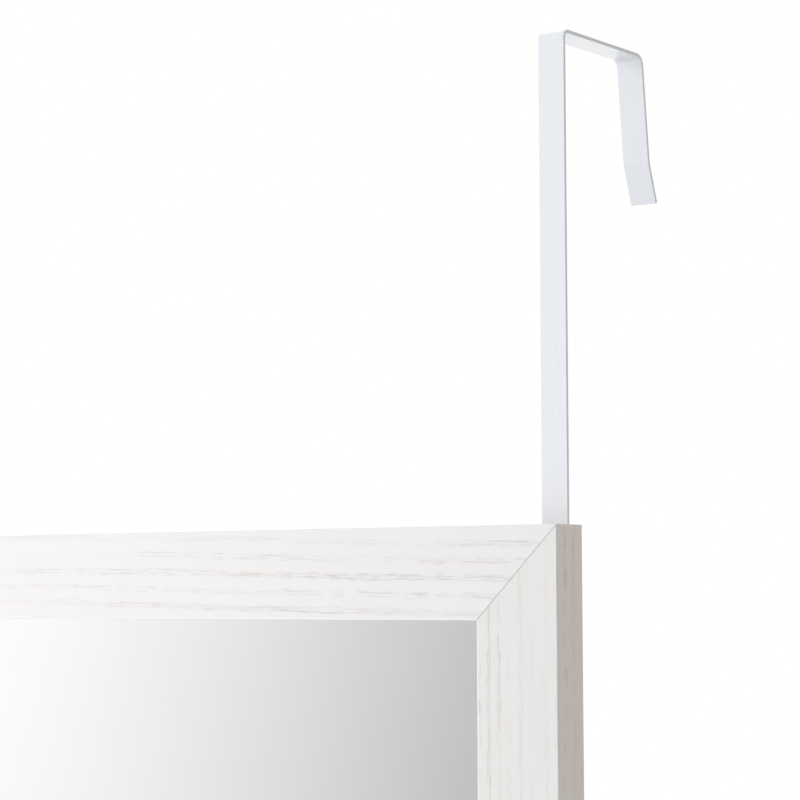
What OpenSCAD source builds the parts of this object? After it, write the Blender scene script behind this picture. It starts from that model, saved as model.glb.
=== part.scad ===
// Over-the-door mirror: a mitred, foil-wrapped moulding frame round a silvered pane, hung on a door by two bent
// steel straps. X runs across the mirror, -Y is the way it faces and Z is up. The origin is on the top edge of
// the door, midway between the straps, in the plane of the door's front face, which the bumpers rest on.

/* [Frame] */
// Overall width of the frame
frame_w = 350; // [260:5:500]
// Overall height of the frame
frame_h = 1200; // [900:10:1500]
// Width of the moulding's face
rail_w = 32; // [26:1:50]
// Depth of the moulding, from its face to its back
rail_d = 16.5; // [16:0.5:30]
// Thickness of the lip that covers the edge of the pane
lip_t = 4.5; // [3:0.5:5]
// How far the lip covers the rabbet behind it
rabbet_w = 8; // [6:0.5:10]
// Radius of the moulding's two front edges
edge_r = 0.4; // [0.3:0.1:2]
// Width of the joint line between two mitred ends
mitre_gap = 0.2; // [0.1:0.05:0.5]

/* [Pane and backing board] */
// Thickness of the silvered pane
pane_t = 3; // [2:0.5:4]
// Thickness of the hardboard behind the pane
board_t = 3; // [2:0.5:4]
// Room between the pane's or the board's edge and the rabbet wall
pane_room = 1; // [0.5:0.1:2]

/* [Corner nails and glazing points] */
// Length of each leg of a corner nail
nail_leg = 6; // [4:0.5:7]
// Thickness of a corner nail
nail_t = 0.6; // [0.4:0.1:1]
// How deep a corner nail is driven
nail_depth = 8; // [5:0.5:9]
// How far a corner nail is sunk under the back of the frame
nail_sink = 0.3; // [0.1:0.1:1]
// Length of a glazing point
point_len = 14; // [10:0.5:20]
// Width of a glazing point
point_w = 5.5; // [4:0.5:8]
// Thickness of a glazing point
point_t = 0.4; // [0.3:0.1:0.6]
// How far a glazing point is driven into the rabbet wall
point_bite = 5; // [3:0.5:7]
// Glazing points along each stile
stile_points = 6; // [2:1:10]
// Glazing points along each of the two short rails
rail_points = 2; // [1:1:4]

/* [Door hooks] */
// Width of the steel strap with its powder coat
strap_w = 10.2; // [9:0.1:14]
// Thickness of the steel strap
strap_t = 1.2; // [1:0.1:2]
// Distance from the side of the frame to the strap
strap_inset = 5.8; // [4:0.1:8]
// Height of the strap's top above the top of the frame
hook_rise = 170.2; // [120:0.1:260]
// Thickness of the thickest door that the hook takes
door_t = 45; // [35:1:50]
// Spare room in the hook behind that door
door_play = 4; // [1:0.5:6]
// Radius inside the bend over the front of the door
front_bend = 1.7; // [0.5:0.1:5]
// Radius inside the bend over the back of the door
rear_bend = 3; // [1:0.5:6]
// Radius inside the bend where the rear leg kicks out
kick_bend = 8; // [3:1:15]
// Length of the rear leg down to its kick-out
leg_len = 34; // [25:0.5:60]
// Angle that the rear leg leans out by
leg_lean = 6.5; // [0:0.5:8]
// Length of the kicked-out end
kick_len = 14; // [8:0.5:25]
// Angle of the kicked-out end from upright
kick_lean = 20; // [10:1:40]
// Radius of the corners at the strap's lower end
tail_r = 3; // [1:0.5:4]
// Length of strap below its lower slot
tail_len = 8; // [5:0.5:20]

/* [Hook screws] */
// Diameter of the screw's shank
screw_d = 4; // [3:0.1:4.5]
// Length of the screw under its head
screw_len = 12; // [10:0.5:14]
// Diameter of the screw's head
head_d = 8; // [6:0.5:8.5]
// Height of the screw's head
head_h = 2.2; // [1.8:0.1:3]
// Height of the straight rim round the head
head_rim = 0.7; // [0.3:0.1:1]
// Length of the screw's point
screw_tip = 3; // [1:0.5:4]
// Width across the cross recess in the head
recess_w = 4.4; // [3:0.1:5]
// Width of each slot of the cross recess
recess_t = 0.9; // [0.6:0.1:1.2]
// Depth of the cross recess
recess_h = 1.3; // [0.8:0.1:1.5]
// Outer diameter of the washer
washer_d = 9; // [8.5:0.5:10]
// Thickness of the washer
washer_t = 0.8; // [0.5:0.1:1.2]
// Distance from the top of the frame to the upper screw
screw_drop = 46; // [40:1:80]
// Distance between the two screws of a hook
screw_pitch = 50; // [42:1:80]
// How far a hook can be raised or lowered from its middle setting
travel = 15; // [5:1:18]

/* [Bumpers] */
// Diameter of a bumper where it is stuck on
bumper_d = 12; // [11:0.5:18]
// Diameter of the bumper's outer end
bumper_tip_d = 10.5; // [6:0.5:11.5]
// Radius of the edge round the bumper's outer end
bumper_r = 1; // [0.5:0.1:1.5]
// How far the bumpers stand out past the screw heads
head_room = 0.4; // [0.2:0.1:3]
// Distance from the side of the frame to a bumper's middle
bumper_in = 45; // [35:1:80]

/* [Clearances] */
// Room at each face of the strap where it slides
slide_room = 0.05; // [0.03:0.01:0.1]
// Room round the shank in the slots and washers
shank_room = 0.2; // [0.1:0.05:0.3]
// Room round the shank in its pilot hole
pilot_room = 0.05; // [0.02:0.01:0.1]
// Room between the screw's point and the end of its pilot hole
tip_room = 0.5; // [0.2:0.1:1]

/* [Hidden] */
$fn = 48;

LEFT = -1;
RIGHT = 1;
UPPER = 0;
LOWER = 1;
TOP = 1;
BOTTOM = -1;

// Depths along Y, from the door's face forwards
fixing_t = strap_t + 2 * slide_room + washer_t;
bumper_t = fixing_t + head_h + head_room;
back_y = -bumper_t;
front_y = back_y - rail_d;
pane_y = front_y + lip_t;
board_y = pane_y + pane_t;
points_y = board_y + board_t;
strap_y = back_y + slide_room;
strap_back_y = strap_y + strap_t;
washer_y = strap_back_y + slide_room;
head_y = washer_y + washer_t;

// Heights along Z, with the door's top edge at 0
frame_top = strap_t - hook_rise;
frame_mid = frame_top - frame_h / 2;

// Solid wood between the moulding's outer edge and its rabbet, and what lies in the rabbet
solid_w = rail_w - rabbet_w;
pane_w = frame_w - 2 * solid_w - 2 * pane_room;
pane_h = frame_h - 2 * solid_w - 2 * pane_room;
nail_step = (solid_w - nail_leg) / 3;

// Hook fixings
strap_x = frame_w / 2 - strap_inset - strap_w / 2;
slot_w = screw_d + 2 * shank_room;
slot_len = 2 * travel + slot_w;
strap_foot = screw_z(LOWER) - slot_len / 2 - tail_len;

// The strap's bends, as [y, z], with the directions along its leaning leg and away from the door
bend_steps = 12;
front_centre = [strap_back_y + front_bend, -front_bend];
rear_centre = [door_t + door_play - rear_bend, -rear_bend];
leg_along = [sin(leg_lean), -cos(leg_lean)];
leg_away = [cos(leg_lean), sin(leg_lean)];
kick_along = [sin(kick_lean), -cos(kick_lean)];
kick_away = [cos(kick_lean), sin(kick_lean)];
kick_centre = rear_centre + (rear_bend + strap_t + kick_bend) * leg_away + leg_len * leg_along;

// Cutters run past what they cut by this much
over = 1;

function screw_z(row) = frame_top - screw_drop - row * screw_pitch;

function arc(centre, r, from, to) = [
  for (i = [0 : bend_steps])
    let (angle = from + (to - from) * i / bend_steps)
      centre + r * [cos(angle), sin(angle)]
];

// ---- Places ----

// Turns what stands along +Z to point at the door, starting at the depth y
module towards_door(y) {
  translate([0, y, 0]) rotate([-90, 0, 0]) children();
}

module at_screw(side, row) {
  translate([side * strap_x, 0, screw_z(row)]) children();
}

// Puts the corner of the frame at the origin, with the frame towards -X and -Z
module at_corner(side, end) {
  translate([side * frame_w / 2, 0, frame_mid + end * frame_h / 2])
    mirror([side == LEFT ? 1 : 0, 0, 0])
      mirror([0, 0, end == BOTTOM ? 1 : 0])
        children();
}

// ---- Moulding ----

// What rounding takes off a corner at the origin, with the material towards +X and +Y
module corner_waste(r) {
  difference() {
    translate([-over, -over]) square(r + over);
    translate([r, r]) circle(r);
  }
}

// Section of the moulding: X is depth from its face, and Y runs from its inner edge, at -rail_w, to its outer
// edge, at 0
module moulding_section() {
  difference() {
    translate([0, -rail_w]) square([rail_d, rail_w]);
    translate([lip_t, -rail_w - over]) square([rail_d, rabbet_w + over]);
    translate([0, -rail_w]) corner_waste(edge_r);
    mirror([0, 1]) corner_waste(edge_r);
  }
}

// A length of moulding with its outer edge along X through the origin, mitred at both ends
module mitred_rail(length) {
  difference() {
    translate([0, front_y, 0])
      rotate([90, 0, 90])
        linear_extrude(length, center = true) moulding_section();
    for (end = [0, 1])
      mirror([end, 0, 0])
        translate([(length - mitre_gap * sqrt(2)) / 2, front_y - over, 0])
          rotate([0, 45, 0])
            translate([0, 0, -2 * rail_w]) cube([2 * rail_w, rail_d + 2 * over, 4 * rail_w]);
  }
}

module short_rail(end) {
  color([0.93, 0.92, 0.91])
    difference() {
      translate([0, 0, frame_mid + end * frame_h / 2])
        mirror([0, 0, end == BOTTOM ? 1 : 0]) mitred_rail(frame_w);
      for (side = [LEFT, RIGHT]) corner_nails(side, end, nail_sink + over);
      rail_glazing_points(end);
    }
}

module stile(side) {
  color([0.93, 0.92, 0.91])
    difference() {
      translate([side * frame_w / 2, 0, frame_mid])
        rotate([0, side * 90, 0]) mitred_rail(frame_h);
      for (end = [TOP, BOTTOM]) corner_nails(side, end, nail_sink + over);
      stile_glazing_points(side);
      for (row = [UPPER, LOWER]) at_screw(side, row) pilot_hole();
    }
}

module pilot_hole() {
  depth = screw_len - fixing_t + tip_room;
  towards_door(back_y - depth) cylinder(d = screw_d + 2 * pilot_room, h = depth + over);
}

// ---- Pane and backing board ----

module mirror_pane() {
  color([0.82, 0.85, 0.86])
    translate([-pane_w / 2, pane_y, frame_mid - pane_h / 2]) cube([pane_w, pane_t, pane_h]);
}

module backing_board() {
  color([0.55, 0.41, 0.28])
    translate([-pane_w / 2, board_y, frame_mid - pane_h / 2]) cube([pane_w, board_t, pane_h]);
}

// ---- Corner nails and glazing points ----

// Two L-shaped nails across the mitre; a pocket for them is the same shape, longer by what headroom gives
module corner_nails(side, end, headroom = 0) {
  color([0.7, 0.72, 0.74])
    at_corner(side, end)
      for (i = [1, 2])
        translate([-i * nail_step, 0, -i * nail_step])
          rotate([-90, 0, 0])
            translate([0, 0, back_y - nail_sink - nail_depth])
              linear_extrude(nail_depth + headroom) nail_outline();
}

// Apex at the origin, legs towards -X and +Y, which is down once the nail points at the door
module nail_outline() {
  translate([-nail_leg, 0]) square([nail_leg, nail_t]);
  translate([-nail_t, 0]) square([nail_t, nail_leg]);
}

// A flat point that lies on the board, with the rabbet wall at Z = 0 and its tip driven up into it
module glazing_point() {
  color([0.7, 0.72, 0.74])
    translate([0, points_y + point_t, 0])
      rotate([90, 0, 0])
        linear_extrude(point_t)
          polygon([
            [-point_w / 2, point_bite - point_len],
            [point_w / 2, point_bite - point_len],
            [point_w / 2, point_bite - point_w / 2],
            [0, point_bite],
            [-point_w / 2, point_bite - point_w / 2]
          ]);
}

module rail_glazing_points(end) {
  for (i = [0 : rail_points - 1])
    translate([((i + 0.5) / rail_points - 0.5) * pane_w, 0, frame_mid + end * (frame_h / 2 - solid_w)])
      mirror([0, 0, end == BOTTOM ? 1 : 0]) glazing_point();
}

module stile_glazing_points(side) {
  for (i = [0 : stile_points - 1])
    translate([side * (frame_w / 2 - solid_w), 0, frame_mid + ((i + 0.5) / stile_points - 0.5) * pane_h])
      rotate([0, side * 90, 0]) glazing_point();
}

// ---- Door hooks ----

// The bent strap from the side, as [y, z]: up its front, over the door, down its back and out at the kick
function strap_outline() = concat(
  [[strap_y, strap_foot]],
  arc(front_centre, front_bend + strap_t, 180, 90),
  arc(rear_centre, rear_bend + strap_t, 90, leg_lean),
  arc(kick_centre, kick_bend, 180 + leg_lean, 180 + kick_lean),
  [kick_end(kick_bend), kick_end(kick_bend + strap_t)],
  arc(kick_centre, kick_bend + strap_t, 180 + kick_lean, 180 + leg_lean),
  arc(rear_centre, rear_bend, leg_lean, 90),
  arc(front_centre, front_bend, 90, 180),
  [[strap_back_y, strap_foot]]
);

function kick_end(r) = kick_centre - r * kick_away + kick_len * kick_along;

module hook(side) {
  color([0.92, 0.93, 0.95])
    difference() {
      translate([side * strap_x, 0, 0])
        rotate([90, 0, 90])
          linear_extrude(strap_w, center = true) polygon(strap_outline());
      for (row = [UPPER, LOWER]) at_screw(side, row) slot();
      for (edge = [0, 1])
        translate([side * strap_x, 0, strap_foot])
          mirror([edge, 0, 0])
            translate([-strap_w / 2, strap_back_y + over, 0])
              rotate([90, 0, 0])
                linear_extrude(strap_t + 2 * over) corner_waste(tail_r);
    }
}

// An upright slot that lets the hook be raised and lowered on its screws
module slot() {
  depth = strap_t + 2 * over;
  for (end = [TOP, BOTTOM])
    translate([0, 0, end * travel])
      towards_door(strap_y - over) cylinder(d = slot_w, h = depth);
  translate([-slot_w / 2, strap_y - over, -travel]) cube([slot_w, depth, 2 * travel]);
}

// ---- Screws and washers ----

// Half the outline of a pan-head screw, as [radius, height above the underside of its head]
function screw_outline() = concat(
  [[0, -screw_len], [screw_d / 2, screw_tip - screw_len], [screw_d / 2, 0], [head_d / 2, 0]],
  [for (angle = [0 : 15 : 90]) [cos(angle) * head_d / 2, head_rim + sin(angle) * (head_h - head_rim)]]
);

module hook_screw(side, row) {
  color([0.74, 0.75, 0.77])
    at_screw(side, row)
      towards_door(head_y)
        difference() {
          rotate_extrude() polygon(screw_outline());
          for (angle = [0, 90])
            rotate([0, 0, angle])
              translate([-recess_w / 2, -recess_t / 2, head_h - recess_h])
                cube([recess_w, recess_t, recess_h + over]);
        }
}

module washer(side, row) {
  color([0.7, 0.71, 0.73])
    at_screw(side, row)
      towards_door(washer_y)
        difference() {
          cylinder(d = washer_d, h = washer_t);
          translate([0, 0, -over]) cylinder(d = slot_w, h = washer_t + 2 * over);
        }
}

// ---- Bumpers ----

module bumper(side, end) {
  color([0.85, 0.86, 0.86])
    at_corner(side, end)
      translate([-bumper_in, 0, -solid_w / 2])
        towards_door(back_y)
          rotate_extrude()
            polygon(concat(
              [[0, 0], [bumper_d / 2, 0]],
              arc([bumper_tip_d / 2 - bumper_r, bumper_t - bumper_r], bumper_r, 0, 90),
              [[0, bumper_t]]
            ));
}

short_rail(TOP);  // top_rail
short_rail(BOTTOM);  // bottom_rail
stile(LEFT);  // left_stile
stile(RIGHT);  // right_stile
mirror_pane();
backing_board();
corner_nails(LEFT, TOP);  // corner_nails_top_left
corner_nails(RIGHT, TOP);  // corner_nails_top_right
corner_nails(LEFT, BOTTOM);  // corner_nails_bottom_left
corner_nails(RIGHT, BOTTOM);  // corner_nails_bottom_right
rail_glazing_points(TOP);  // glazing_points_top
rail_glazing_points(BOTTOM);  // glazing_points_bottom
stile_glazing_points(LEFT);  // glazing_points_left
stile_glazing_points(RIGHT);  // glazing_points_right
hook(LEFT);  // hook_left
hook(RIGHT);  // hook_right
hook_screw(LEFT, UPPER);  // hook_screw_upper_left
hook_screw(LEFT, LOWER);  // hook_screw_lower_left
hook_screw(RIGHT, UPPER);  // hook_screw_upper_right
hook_screw(RIGHT, LOWER);  // hook_screw_lower_right
washer(LEFT, UPPER);  // washer_upper_left
washer(LEFT, LOWER);  // washer_lower_left
washer(RIGHT, UPPER);  // washer_upper_right
washer(RIGHT, LOWER);  // washer_lower_right
bumper(LEFT, TOP);  // bumper_top_left
bumper(RIGHT, TOP);  // bumper_top_right
bumper(LEFT, BOTTOM);  // bumper_bottom_left
bumper(RIGHT, BOTTOM);  // bumper_bottom_right
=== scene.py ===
# %% [markdown]
# # An over-the-door mirror
#
# A tall mirror in a whitewashed frame hangs on a door by two bent steel straps. The solids that carry it come from
# CAD and are loaded first, as a fixed frame. This file gives every piece its finished shape and surface: the
# foil-wrapped moulding, the silvered pane, the powder-coated hooks and the small fixings on the back.

# %% Load the CAD frame
import bmesh
import bpy
from math import cos, pi, radians, sin, sqrt
from mathutils import Matrix, Vector


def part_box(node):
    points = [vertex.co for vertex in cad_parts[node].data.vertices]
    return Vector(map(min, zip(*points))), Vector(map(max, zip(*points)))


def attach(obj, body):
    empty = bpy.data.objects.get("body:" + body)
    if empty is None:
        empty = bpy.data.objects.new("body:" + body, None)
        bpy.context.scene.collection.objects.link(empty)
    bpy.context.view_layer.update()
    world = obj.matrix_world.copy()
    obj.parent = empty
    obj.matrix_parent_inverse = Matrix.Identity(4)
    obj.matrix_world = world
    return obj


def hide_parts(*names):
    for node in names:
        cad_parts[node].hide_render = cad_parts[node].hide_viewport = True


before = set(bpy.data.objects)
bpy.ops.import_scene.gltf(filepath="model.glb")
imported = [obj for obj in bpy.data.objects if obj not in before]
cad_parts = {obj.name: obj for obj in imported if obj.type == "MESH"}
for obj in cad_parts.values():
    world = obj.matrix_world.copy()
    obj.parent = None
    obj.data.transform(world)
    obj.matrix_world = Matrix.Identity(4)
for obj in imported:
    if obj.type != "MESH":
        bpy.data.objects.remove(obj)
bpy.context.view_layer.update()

MM = 0.001

# %% [markdown]
# ## Sizes read from the frame
#
# The pieces below replace CAD solids, so they take their sizes from the solids' boxes. That way a moulding stays where
# the CAD says, whatever its width. Only sizes that no box shows, such as the rounding of an edge, are given as
# numbers.

# %% Measure the CAD solids
stile_low, stile_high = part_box("right_stile")
pane_low, pane_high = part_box("mirror_pane")
board_low, board_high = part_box("backing_board")

frame_right = stile_high.x
frame_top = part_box("top_rail")[1].z
frame_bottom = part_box("bottom_rail")[0].z
frame_mid = (frame_top + frame_bottom) / 2
frame_w = 2 * frame_right
frame_h = frame_top - frame_bottom
front_y, back_y = stile_low.y, stile_high.y
rail_w = stile_high.x - stile_low.x
rail_d = back_y - front_y
print(f"frame {frame_w / MM:.0f} x {frame_h / MM:.0f} mm, moulding {rail_w / MM:.1f} x {rail_d / MM:.1f} mm")

# %% [markdown]
# ## The camera
#
# The photograph shows only the top right corner of the mirror, from its right and a little from below. A long lens
# keeps the verticals almost parallel. The camera is placed from the corner it looks at, so the corner stays on its
# spot in the picture if the frame changes.

# %% Camera
view_azimuth = radians(35.18)
view_pitch = radians(4.32)
view_roll = radians(-0.21)
corner_in_view = Vector((0.0518, -0.0410, -0.8467))
lens_mm = 115.07

turn = Matrix.Rotation(view_azimuth, 3, "Z") @ Matrix.Rotation(pi / 2 + view_pitch, 3, "X")
turn = turn @ Matrix.Rotation(view_roll, 3, "Z")
corner = Vector((frame_right, front_y, frame_top))
bpy.ops.object.camera_add(location=corner - turn @ corner_in_view, rotation=turn.to_euler())
camera = bpy.context.object
camera.data.lens = lens_mm
camera.data.clip_start = 0.05
bpy.context.scene.camera = camera
bpy.context.scene.view_settings.view_transform = "Standard"
print("camera at, mm:", [round(v / MM) for v in camera.location])

# %% [markdown]
# ## Helpers for node trees
#
# Materials, the world and the shared groups are all node trees. A tree could be wired node by node, but that takes
# four lines for each node and hides what it does. A few short helpers keep it readable: `add_node` adds a node and
# fills or links its inputs, `calc` does sums, `fade` eases a value from one level to another, and `mix` mixes two.

# %% Node helpers
def feed(tree, socket, value):
    """Link a socket to another node's output, or set it to a plain value."""
    if isinstance(value, bpy.types.NodeSocket):
        tree.links.new(value, socket)
    else:
        socket.default_value = value


def add_node(tree, kind, inputs=None, **settings):
    """Add a node, set its options, and fill its inputs by name or number."""
    node = tree.nodes.new(kind)
    for option, choice in settings.items():
        setattr(node, option, choice)
    for socket, value in (inputs or {}).items():
        feed(tree, node.inputs[socket], value)
    return node


def calc(tree, operation, *values):
    """Add a Math node and return its result."""
    return add_node(tree, "ShaderNodeMath", dict(enumerate(values)), operation=operation).outputs[0]


def fade(tree, value, start, end, low=0.0, high=1.0):
    """Ease from low to high while the value goes from start to end."""
    sockets = {"Value": value, "From Min": start, "From Max": end, "To Min": low, "To Max": high}
    return add_node(tree, "ShaderNodeMapRange", sockets, interpolation_type="SMOOTHSTEP").outputs[0]


def mix(tree, factor, first, second):
    """Mix two values."""
    return add_node(tree, "ShaderNodeMix", {0: factor, 2: first, 3: second}).outputs[0]


# %% [markdown]
# ## The studio round the mirror
#
# A mirror shows the room in front of it, so its look is the room's look. In the photograph it reflects a pale wall
# that darkens smoothly to one side. The world paints that room for glossy rays: its brightness eases from white on
# the left to mid grey straight ahead and on the right. A bright backdrop stands behind the mirror, which the glossy
# hooks pick up. Rays from the camera see plain white. For matt surfaces the world is an even fill, a little
# stronger from the floor and the ceiling, and a little weaker from the right. Each change is given as where it
# starts and where it has finished, as a heading or as a part of the ray's direction.

# %% World
ahead_grey, wall_white, wall_shade, backdrop_white = 0.445, 1.08, 0.70, 1.20
wall_left = (radians(-27.0), radians(-47.5))
wall_right = (radians(45), radians(95))
backdrop_turn, behind_mirror = (0.4, -0.4), (0.0, 0.3)
wall_tilt, tilt_turn = 0.35, (-0.5, 0.5)
fill_level, floor_bounce, ceiling_light, fill_lean = 0.42, 0.22, 0.36, 0.08
floor_turn, ceiling_turn = (0.1, -0.9), (0.0, 0.9)

world = bpy.data.worlds.new("studio")
bpy.context.scene.world = world
world.use_nodes = True
sky = world.node_tree
sky.nodes.clear()
direction = add_node(sky, "ShaderNodeSeparateXYZ", {0: add_node(sky, "ShaderNodeTexCoord").outputs["Generated"]})
x_part, y_part, z_part = direction.outputs
heading = calc(sky, "ARCTAN2", x_part, calc(sky, "MULTIPLY", y_part, -1.0))
left_wall = fade(sky, heading, *wall_left, high=wall_white - ahead_grey)
right_wall = fade(sky, heading, *wall_right, high=wall_shade - ahead_grey)
room = calc(sky, "ADD", ahead_grey, calc(sky, "ADD", left_wall, right_wall))
backdrop = fade(sky, x_part, *backdrop_turn, low=wall_shade, high=backdrop_white)
room = mix(sky, fade(sky, y_part, *behind_mirror), room, backdrop)
reflected = calc(sky, "ADD", room, fade(sky, z_part, *tilt_turn, low=-wall_tilt / 2, high=wall_tilt / 2))
fill = calc(sky, "MULTIPLY_ADD", x_part, -fill_lean, fill_level)
fill = calc(sky, "ADD", fill, fade(sky, z_part, *floor_turn, high=floor_bounce))
level = calc(sky, "ADD", fill, fade(sky, z_part, *ceiling_turn, high=ceiling_light))
rays = add_node(sky, "ShaderNodeLightPath").outputs
for ray, seen in (("Is Glossy Ray", reflected), ("Is Transmission Ray", 1.0), ("Is Camera Ray", 1.0)):
    level = mix(sky, rays[ray], level, seen)
background = add_node(sky, "ShaderNodeBackground", {"Color": (1, 1, 1, 1), "Strength": level})
add_node(sky, "ShaderNodeOutputWorld", {"Surface": background.outputs[0]})
print("world: walls from", ahead_grey, "to", wall_white, "with a fill of", fill_level)

# %% [markdown]
# ## The key light
#
# One tall, soft light stands to the left in front of the mirror, as a window would. It is near enough for the light
# to fall off along the top rail, which the photograph shows. It is hidden from glossy rays, because the mirror would
# otherwise show its hard edge.

# %% Key light
key_size = (0.9, 1.9)
key_place = Vector((-0.95, -1.20, -0.25))
key_target = Vector((0.05, 0, -0.62))
key_watts = 16.9

bpy.ops.object.light_add(
    type="AREA", location=key_place, rotation=(key_target - key_place).to_track_quat("-Z", "Y").to_euler()
)
key = bpy.context.object
key.name = "key_light"
key.data.shape = "RECTANGLE"
key.data.size, key.data.size_y = key_size
key.data.energy = key_watts
key.visible_glossy = False
key.visible_camera = False
print("key light", key_watts, "W at", [round(v, 2) for v in key_place])

# %% [markdown]
# ## The floor
#
# A pale disc just under the frame catches its shadow. It is opaque in the middle and fades to nothing towards its
# rim, so that no edge shows against the white, neither in the picture nor in the mirror. A faint glow, seen only by
# the camera and in reflections, lifts it towards the white of the background without lighting the object.

# %% Floor
floor_r = 2.4
floor_gap = 0.5 * MM
floor_white = (0.86, 0.86, 0.855, 1)
floor_glow = 0.2

bpy.ops.object.select_all(action="DESELECT")
bpy.ops.mesh.primitive_circle_add(
    vertices=96, radius=floor_r, fill_type="NGON", location=(0, 0, frame_bottom - floor_gap)
)
floor = bpy.context.object
floor.name = "studio_floor"
bpy.ops.object.transform_apply(location=True)
print("floor disc of", floor_r, "m at", round(frame_bottom, 4))

# %% [markdown]
# The floor's material is put together by hand, because it is not a finish of the mirror: a matt white with its glow,
# mixed with a clear shader by the distance from the middle.

# %% Floor material
floor_fade = (0.35 * floor_r, 0.97 * floor_r)

material = bpy.data.materials.new("studio_floor")
material.use_nodes = True
tree = material.node_tree
tree.nodes.clear()
place = add_node(tree, "ShaderNodeTexCoord").outputs["Object"]
flat = add_node(tree, "ShaderNodeVectorMath", {0: place, 1: (1, 1, 0)}, operation="MULTIPLY").outputs[0]
radius = add_node(tree, "ShaderNodeVectorMath", {0: flat}, operation="LENGTH").outputs["Value"]
matt = add_node(tree, "ShaderNodeBsdfDiffuse", {"Color": floor_white}).outputs[0]
rays = add_node(tree, "ShaderNodeLightPath").outputs
seen = calc(tree, "MAXIMUM", rays["Is Camera Ray"], rays["Is Glossy Ray"])
glow = add_node(tree, "ShaderNodeEmission", {"Strength": calc(tree, "MULTIPLY", seen, floor_glow)}).outputs[0]
pale = add_node(tree, "ShaderNodeAddShader", {0: matt, 1: glow}).outputs[0]
clear = add_node(tree, "ShaderNodeBsdfTransparent").outputs[0]
rim = fade(tree, radius, *floor_fade)
faded = add_node(tree, "ShaderNodeMixShader", {0: rim, 1: pale, 2: clear}).outputs[0]
add_node(tree, "ShaderNodeOutputMaterial", {"Surface": faded})
floor.data.materials.append(material)
print("floor fades out from", round(floor_fade[0], 2), "to", round(floor_fade[1], 2), "m")

# %% [markdown]
# ## Open-pore grain
#
# The frame is wrapped in a foil printed and embossed like limed ash. Its grain is made of thin dark pores, 4 to 18 mm
# long and an eighth of a millimetre thick, that lie in double rows along the growth rings. A stretched noise could
# draw them, but its blotches have no fixed size. A Voronoi pattern, stretched the same way, puts one dash of a known
# size in each cell, with blunt ends if distance is measured along the axes. It also tells where the middle of each
# dash is, so a dash can be kept or dropped as a whole by its distance from the nearest ring.
#
# The grain is a node group, so the foil's own tree stays short and another finish can use it. It reads the moulding's
# UV map, in metres along and across the grain. Its parts come first: a helper that starts a group, and noise whose
# blotches have a length and a width.

# %% Start a group, and stretched noise
def new_group(name, inputs, outputs):
    """Start a shader node group; numbers are given as name: default, and outputs as names."""
    group = bpy.data.node_groups.new(name, "ShaderNodeTree")
    group.interface.new_socket("Vector", in_out="INPUT", socket_type="NodeSocketVector")
    for label, default in inputs.items():
        socket = group.interface.new_socket(label, in_out="INPUT", socket_type="NodeSocketFloat")
        socket.default_value = default
    for label in outputs:
        group.interface.new_socket(label, in_out="OUTPUT", socket_type="NodeSocketFloat")
    return group, add_node(group, "NodeGroupInput").outputs, add_node(group, "NodeGroupOutput").inputs


def stretched_noise(tree, along, across, along_mm, across_mm, detail=0.0, seed=0.0):
    """Noise whose blotches are along_mm long and across_mm wide."""
    u = calc(tree, "MULTIPLY", along, 1 / (along_mm * MM))
    v = calc(tree, "MULTIPLY", across, 1 / (across_mm * MM))
    point = add_node(tree, "ShaderNodeCombineXYZ", {0: u, 1: v, 2: seed})
    sockets = {"Vector": point.outputs[0], "Scale": 1.0, "Detail": detail}
    return add_node(tree, "ShaderNodeTexNoise", sockets).outputs[0]


# %% [markdown]
# Every ring has a number, counted across the board, and white noise gives each number its own strength, so that strong
# and faint rings follow each other as in wood. A pore fills the middle of one Voronoi cell, and it is kept or dropped
# by the ring that its middle lies near: one small distance off it, to both sides, which makes the rows double.

# %% Rings and rows of pores
pore_share, pore_blur = 0.36, 0.04
row_off_ring = 0.09
faintest_ring, ring_spread, faintest_pore = 0.25, 0.9, 0.4


def growth_ring(tree, across, gap):
    """How far a point lies off the middle of its growth ring, from 0 to 0.5, and how strong that ring is."""
    ring = calc(tree, "DIVIDE", across, gap)
    off_ring = calc(tree, "ABSOLUTE", calc(tree, "SUBTRACT", calc(tree, "FRACT", ring), 0.5))
    number = calc(tree, "FLOOR", ring)
    chance = add_node(tree, "ShaderNodeTexWhiteNoise", {"W": number}, noise_dimensions="1D").outputs["Value"]
    return off_ring, calc(tree, "MULTIPLY_ADD", chance, ring_spread, faintest_ring)


def dashes(tree, along, across, gap, length_mm, thick_mm, row_width, strays, seed):
    """Thin pores, one to a cell, kept where their middle lies near a ring."""
    cell_along, cell_across = length_mm * MM / pore_share, thick_mm * MM / pore_share
    u = calc(tree, "MULTIPLY_ADD", along, 1 / cell_along, seed)
    v = calc(tree, "MULTIPLY", across, 1 / cell_across)
    point = add_node(tree, "ShaderNodeCombineXYZ", {0: u, 1: v}).outputs[0]
    cells = add_node(
        tree, "ShaderNodeTexVoronoi", {"Vector": point, "Scale": 1.0}, voronoi_dimensions="2D", distance="CHEBYCHEV"
    ).outputs
    middle = add_node(tree, "ShaderNodeSeparateXYZ", {0: cells["Position"]}).outputs[1]
    off_ring, strength = growth_ring(tree, calc(tree, "MULTIPLY", middle, cell_across), gap)
    off_row = calc(tree, "ABSOLUTE", calc(tree, "SUBTRACT", off_ring, row_off_ring))
    wanted = calc(tree, "MULTIPLY_ADD", fade(tree, off_row, row_width, 0.3 * row_width), strength, strays)
    chance = add_node(tree, "ShaderNodeSeparateColor", {0: cells["Color"]}).outputs
    kept = fade(tree, calc(tree, "SUBTRACT", wanted, chance[0]), 0.0, 0.12)
    depth = calc(tree, "MULTIPLY_ADD", chance[1], 1 - faintest_pore, faintest_pore)
    shape = fade(tree, cells["Distance"], pore_share / 2 + pore_blur, pore_share / 2 - pore_blur)
    return calc(tree, "MULTIPLY", shape, calc(tree, "MULTIPLY", kept, depth))


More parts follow.
